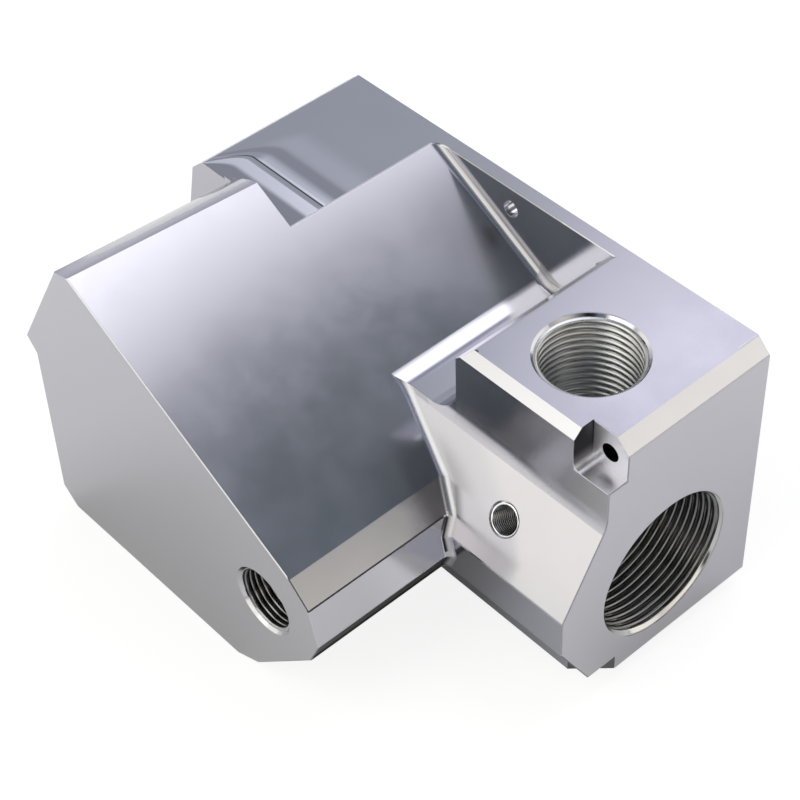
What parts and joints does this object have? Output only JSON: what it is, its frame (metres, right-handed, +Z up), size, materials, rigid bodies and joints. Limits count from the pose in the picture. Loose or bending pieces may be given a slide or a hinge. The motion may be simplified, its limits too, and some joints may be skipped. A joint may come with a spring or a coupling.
{
  "type": "hydraulic manifold block",
  "caption": "Solid metal manifold block with threaded oil ports in its top, side, end and leaning front, a long slope down to a rounded valley, and a raised corner ridge.",
  "frame": {"origin": "centre of the bounding box in plan, at the height of the flat base of the left body, which the block stands on", "axes": "+Z up, square to the top plane and the base; +X out of the face with the largest port; -Y out of the end face with the small port"},
  "size_m": [0.1522, 0.11, 0.0937],
  "materials": {
    "machined_metal": "finely ground and polished, soft mirror sheen, crisp bright edges"
  },
  "bodies": {
    "root": {"manifold_block": "machined_metal"}
  },
  "joints": []
}
